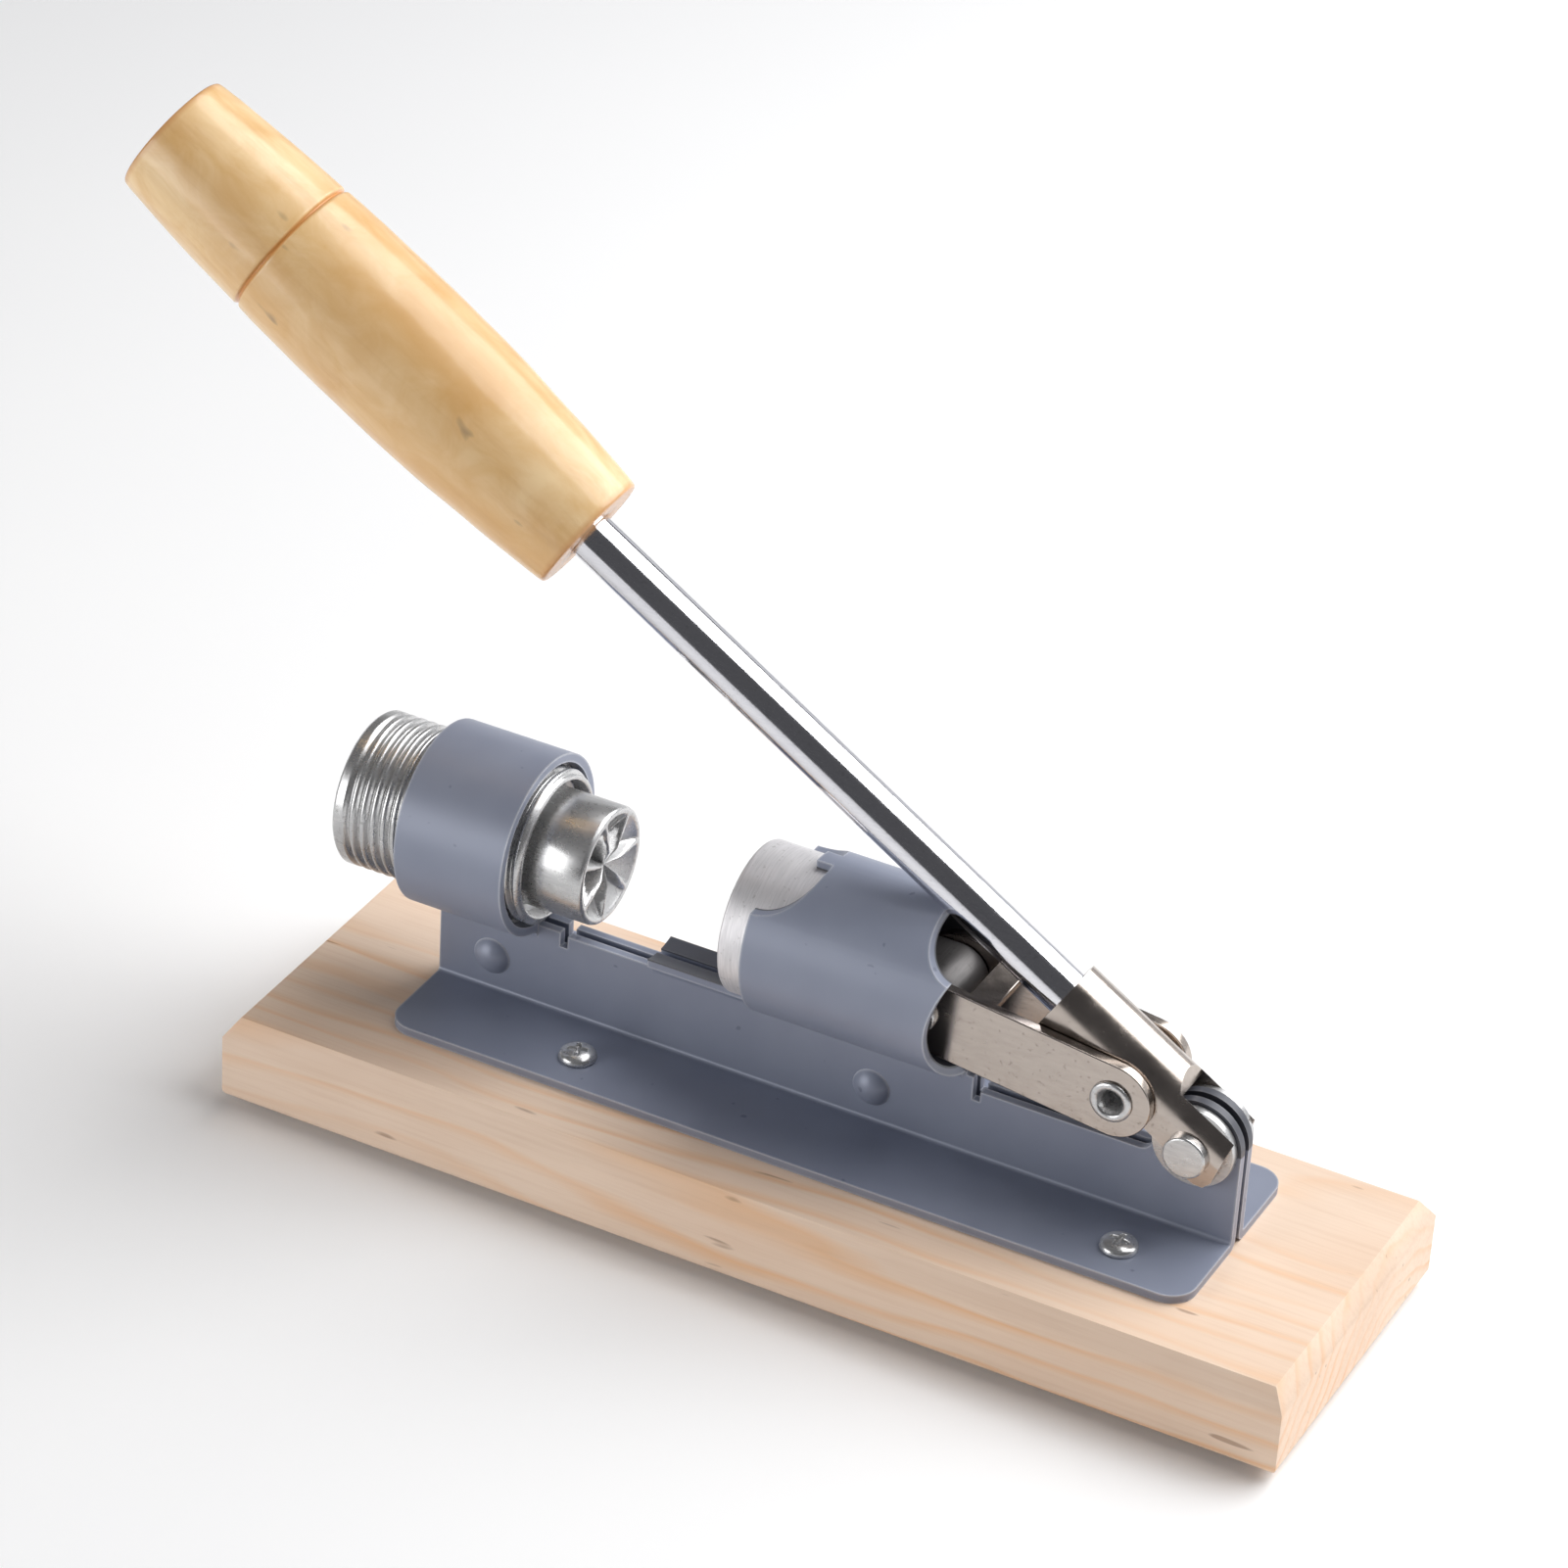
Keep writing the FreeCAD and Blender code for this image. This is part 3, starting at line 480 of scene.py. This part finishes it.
def make_screw():
    """Anvil screw with a helical thread, a hollow back and a recessed front face."""
    x0, x1 = SCREW_LOW.x / MM, SCREW_HIGH.x / MM
    crest, depth, pitch = (SCREW_HIGH.z - SCREW_LOW.z) / 2 / MM, 1.25, 2.5
    back_bore, face_bore, hole = 13.0, 15.2, 6.2
    web = (x0 + 33.5, x0 + 42.0)

    def thread(x):
        def radius(angle):
            phase = ((x - x0) / pitch - angle / (2 * math.pi)) % 1.0
            valley = (0.5 - 0.5 * math.cos(2 * math.pi * phase)) ** 1.6
            fade = min(1.0, max(0.0, (x - x0 - 2.2) / 2.0))
            return (crest - depth * valley * fade) * MM

        return radius

    rings = [(web[0], hole), (web[0], back_bore - 0.4), (web[0] - 0.4, back_bore), (x0 + 0.8, back_bore)]
    rings += [(x0 + 0.1, back_bore + 0.6), (x0, back_bore + 1.4), (x0, crest - 1.2), (x0 + 0.2, crest - 0.5)]
    rings = [(x * MM, r * MM) for x, r in rings]
    steps = int((x1 - x0 - 1.6) / pitch * 14)
    for k in range(steps + 1):
        x = x0 + 0.8 + (x1 - x0 - 1.6) * k / steps
        rings.append((x * MM, thread(x)))
    tail = [(x1 - 0.3, crest - 0.9), (x1, crest - 1.3), (x1, face_bore + 0.3), (x1 - 0.3, face_bore)]
    tail += [(web[1] + 0.4, face_bore), (web[1], face_bore - 0.4), (web[1], hole)]
    rings += [(x * MM, r * MM) for x, r in tail]
    screw = turned("screw_threaded", SLEEVE_AXIS, (1, 0, 0), rings, 160, caps=0)
    dress(screw, "screw", "zinc_steel", "adjusting_screw")


def ribbed_face_rings(face_x, sign, outer_r, rim, depth, ribs, steps=26):
    """Rings over a concave face: from the outer edge to the centre, with sharp radial ribs left standing."""
    inner = outer_r - rim

    def station(r):
        def along(angle):
            share = max(0.0, 1 - r / inner)
            fall = depth * share**0.85
            wave = (angle * ribs / (2 * math.pi)) % 1.0
            off = abs(wave - 0.5) * 2
            width = 0.55 * r * 2 * math.pi / ribs
            ridge = max(0.0, 1 - off * width / 1.15)
            return (face_x - sign * (fall - min(fall, depth * 0.7 * ridge * min(1.0, share * 3)))) * MM

        return along

    radii = [inner * (1 - k / steps) + 0.02 for k in range(steps + 1)]
    return [(station(r), r * MM) for r in radii]


def make_cup():
    """Anvil cup: plain barrel, rounded rim and a concave face with radial ribs."""
    x1 = CUP_HIGH.x / MM
    r = (CUP_HIGH.z - CUP_LOW.z) / 2 / MM
    base = x1 - CUP_BARREL
    rings = [(base, 6.2), (base, r - 0.5), (base + 0.5, r)]
    rings += [(x1 - 0.9, r), (x1 - 0.35, r - 0.2), (x1, r - 0.7)]
    rings = [(x * MM, radius * MM) for x, radius in rings]
    rings += ribbed_face_rings(x1, 1, r, 1.3, 6.2, 7)
    cup = turned("cup_ribbed", SLEEVE_AXIS, (1, 0, 0), rings, 224)
    dress(cup, "anvil", "zinc_steel", "anvil_cup")


def make_stem():
    """Stem of the cup, behind its barrel, with the clip's groove."""
    x0, x1 = CUP_LOW.x / MM, CUP_HIGH.x / MM - CUP_BARREL
    clip_low, clip_high = (corner.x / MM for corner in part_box("anvil_clip"))
    rings = [(x0, 4.8), (x0 + 0.6, 5.6), (x0 + 0.9, 6.0)]
    rings += [(clip_low, 6.0), (clip_low, 5.05), (clip_high, 5.05), (clip_high, 6.0), (x1, 6.0)]
    stem = turned(
        "cup_stem", SLEEVE_AXIS, (1, 0, 0), [(x * MM, r * MM) for x, r in rings], 64
    )
    dress(stem, "anvil", "zinc_steel")


def make_link_rivet():
    """Hollow rivet through link and yoke, its two ends curled over into rounded lips."""
    low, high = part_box("link_rivet")
    outer, barrel, bore = (high.z - low.z) / 2 / MM, 3.2, 2.3
    thick = 0.95                            # of a lip, along the rivet
    half = (high.y - low.y) / 2 / MM
    lip_r = (outer - 2.9) / 2               # the lip is half round between its outer edge and the mouth
    lip_centre = outer - lip_r
    end = [(half - thick, barrel), (half - thick, outer - 0.3), (half - thick + 0.3, outer)]
    for k in range(9):
        turn = math.pi * k / 8
        end.append((half - 0.55 + 0.55 * math.sin(turn), lip_centre + lip_r * math.cos(turn)))
    end += [(half - 1.1, bore + 0.25), (half - 1.9, bore)]
    rings = end + [(-s, r) for s, r in reversed(end)]
    centre = (low + high) / 2
    rivet = turned("link_rivet_curled", centre, (0, 1, 0), [(s * MM, r * MM) for s, r in rings], 96, caps=0)
    dress(rivet, "lever", "zinc_steel", "link_rivet")


def make_base_screws():
    """Pan heads with a cross recess and the shanks below."""
    low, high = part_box("base_screws")
    head_r, head_h, shank = 4.2 * MM, 2.4 * MM, 2.0 * MM
    floor_z = high.z - head_h
    for index, (sx, sy) in enumerate(((0, 0), (1, 0), (0, 1), (1, 1))):
        x = low.x + head_r if sx == 0 else high.x - head_r
        y = low.y + head_r if sy == 0 else high.y - head_r
        turn = 0.35 + 1.1 * index
        rings = [(low.z, 0.3 * MM), (low.z + 3 * MM, shank), (floor_z, shank), (floor_z, head_r * 0.94)]
        rings += [(floor_z + 0.35 * MM, head_r), (floor_z + 0.7 * MM, head_r * 0.985)]
        head = turned(f"base_screw_{index}", Vector((x, y, 0)), (0, 0, 1), rings, CAP_SEGMENTS, caps=1)
        cap_centre = Vector((x, y, floor_z + 0.7 * MM))
        cap = cross_cap(f"base_screw_cap_{index}", cap_centre, head_r * 0.985, 1.7 * MM, turn)
        bpy.context.view_layer.update()
        join(head, cap)
        dress(head, "base", "zinc_steel", "base_screws")


def cross_cap(name, centre, radius, height, turn):
    """Domed cap on a polar grid, with a cross recess pressed into it."""
    rings, segments = 44, CAP_SEGMENTS
    vertices, faces = [Vector((0, 0, 0))], []
    for i in range(1, rings + 1):
        for k in range(segments):
            r = radius * i / rings
            angle = 2 * math.pi * k / segments
            vertices.append(Vector((r * math.cos(angle), r * math.sin(angle), 0)))
    arm, half_width, deep = 2.3 * MM, 0.48 * MM, 1.35 * MM
    for v in vertices:
        r = v.length
        dome = height * math.sqrt(max(0.0, 1 - (r / radius) ** 2.6))
        u = abs(v.x * math.cos(turn) + v.y * math.sin(turn))
        w = abs(-v.x * math.sin(turn) + v.y * math.cos(turn))
        across = min(u, w)
        inside = min(1.0, max(0.0, (half_width * (1.25 - r / arm * 0.35) - across) / (0.16 * MM) + 0.5))
        inside *= min(1.0, max(0.0, (arm - r) / (0.25 * MM)))
        v.z = dome - deep * inside * (1 - 0.45 * r / arm)
        v += centre
    for k in range(segments):
        faces.append((0, 1 + k, 1 + (k + 1) % segments))
    for i in range(rings - 1):
        for k in range(segments):
            a, b = 1 + i * segments + k, 1 + i * segments + (k + 1) % segments
            faces.append((a, a + segments, b + segments, b))
    return make_object(name, vertices, faces)


def join(target, *others):
    """Put other meshes into the target's mesh."""
    bm = bmesh.new()
    bm.from_mesh(target.data)
    for other in others:
        bm.from_mesh(other.data)
        bpy.data.objects.remove(other)
    bmesh.ops.remove_doubles(bm, verts=bm.verts, dist=1e-6)
    bmesh.ops.recalc_face_normals(bm, faces=bm.faces)
    bm.to_mesh(target.data)
    bm.free()
    for polygon in target.data.polygons:
        polygon.use_smooth = True


make_grip()
make_screw()
make_cup()
make_stem()
make_base_screws()
make_link_rivet()
for cad_node, bevel_mm in (
    ("base_board", 0.6), ("press_frame", 0.22), ("frame_rivets", 0.0), ("rubber_feet", 0.3),
    ("screw_bush", 0.2), ("anvil_clip", 0.15), ("ram", 0.0), ("ram_pin", 0.0), ("toggle_link", 0.3),
    ("lever_yoke", 0.3), ("pivot_pin", 0.0), ("pivot_clip", 0.0), ("pivot_spacers", 0.15),
    ("lever_rod", 0.0),
):
    dress_cad(cad_node, bevel_mm * MM)


# ---------------------------------------------------------------- studio
def look_at(location, target):
    """Matrix of a light or camera at location that looks at target."""
    back = (Vector(location) - Vector(target)).normalized()
    right = Vector((0, 0, 1)).cross(back).normalized()
    up = back.cross(right)
    turn = Matrix((right, up, back)).transposed().to_4x4()
    return Matrix.Translation(location) @ turn


def add_softbox(name, direction, distance, size, power):
    """Rectangular light at a distance from the object, facing it."""
    target = Vector((0, 0, 0.06))
    data = bpy.data.lights.new(name, "AREA")
    data.shape = "RECTANGLE"
    data.size, data.size_y = size
    data.energy = power
    light = bpy.data.objects.new(name, data)
    bpy.context.scene.collection.objects.link(light)
    light.matrix_world = look_at(target + Vector(direction).normalized() * distance, target)


def add_floor():
    """Plain pale floor."""
    mesh = bpy.data.meshes.new("floor")
    half = 6.0
    corners = [(-half, -half, 0), (half, -half, 0), (half, half, 0), (-half, half, 0)]
    mesh.from_pydata(corners, [], [(0, 1, 2, 3)])
    floor = bpy.data.objects.new("floor", mesh)
    bpy.context.scene.collection.objects.link(floor)
    g = Graph("floor_paper")
    cloud = g.noise(g.mapping(scale=(3, 3, 3)), 1.0, 2.0)
    colour = g.mix(g.range(cloud, 0.3, 0.7), (0.93, 0.93, 0.935), (0.95, 0.95, 0.95))
    mesh.materials.append(g.finish(colour, 0.75, specular_ior_level=0.1))


def add_world():
    """Dim studio: dark overhead and in front, a pale strip low behind the object."""
    world = bpy.data.worlds.new("studio")
    bpy.context.scene.world = world
    world.use_nodes = True
    tree = world.node_tree
    background = tree.nodes["Background"]
    coords = tree.nodes.new("ShaderNodeTexCoord")
    split = tree.nodes.new("ShaderNodeSeparateXYZ")
    tree.links.new(coords.outputs["Generated"], split.inputs[0])

    def fade(socket, low, high):
        made = tree.nodes.new("ShaderNodeMapRange")
        made.interpolation_type = "SMOOTHSTEP"
        made.inputs["From Min"].default_value = low
        made.inputs["From Max"].default_value = high
        tree.links.new(socket, made.inputs["Value"])
        return made.outputs[0]

    behind = fade(split.outputs["Y"], -0.2, 0.6)
    overhead = fade(split.outputs["Z"], 0.24, 0.34)
    low_behind = tree.nodes.new("ShaderNodeMath")
    low_behind.operation = "MULTIPLY"
    inverse = tree.nodes.new("ShaderNodeMath")
    inverse.operation = "SUBTRACT"
    inverse.inputs[0].default_value = 1.0
    tree.links.new(overhead, inverse.inputs[1])
    tree.links.new(behind, low_behind.inputs[0])
    tree.links.new(inverse.outputs[0], low_behind.inputs[1])
    ramp = tree.nodes.new("ShaderNodeValToRGB")
    ramp.color_ramp.elements[0].color = (0.085, 0.085, 0.09, 1)
    ramp.color_ramp.elements[1].color = (0.70, 0.71, 0.73, 1)
    tree.links.new(low_behind.outputs[0], ramp.inputs[0])
    tree.links.new(ramp.outputs[0], background.inputs[0])
    background.inputs[1].default_value = 1.0


def add_camera():
    """Camera right of the front and above, a long lens, rolled a little."""
    azimuth, elevation, roll = (math.radians(v) for v in (25.913, 32.384, 3.590))
    board_x, board_y = (BOARD_LOW.x + BOARD_HIGH.x) / 2, (BOARD_LOW.y + BOARD_HIGH.y) / 2
    location = Vector((board_x, board_y, BOARD_LOW.z)) + Vector((460.7, -977.0, 785.7)) * MM
    right = Vector((math.cos(azimuth), math.sin(azimuth), 0))
    level = math.cos(elevation)
    back = Vector((math.sin(azimuth) * level, -math.cos(azimuth) * level, math.sin(elevation)))
    up = back.cross(right)
    rolled_right = right * math.cos(roll) + up * math.sin(roll)
    rolled_up = up * math.cos(roll) - right * math.sin(roll)
    data = bpy.data.cameras.new("camera")
    data.lens, data.sensor_width = 142.95, 36.0
    data.clip_end = 20.0
    camera = bpy.data.objects.new("camera", data)
    turned_to = Matrix((rolled_right, rolled_up, back)).transposed().to_4x4()
    camera.matrix_world = Matrix.Translation(location) @ turned_to
    bpy.context.scene.collection.objects.link(camera)
    bpy.context.scene.camera = camera


add_camera()
add_floor()
add_world()
add_softbox("softbox_top", (0.468, 0.469, 0.749), 1.1, (1.2, 1.2), 21)
add_softbox("softbox_left", (-0.62, -0.76, 0.22), 1.3, (0.9, 0.7), 8)
bpy.context.scene.view_settings.view_transform = "Standard"
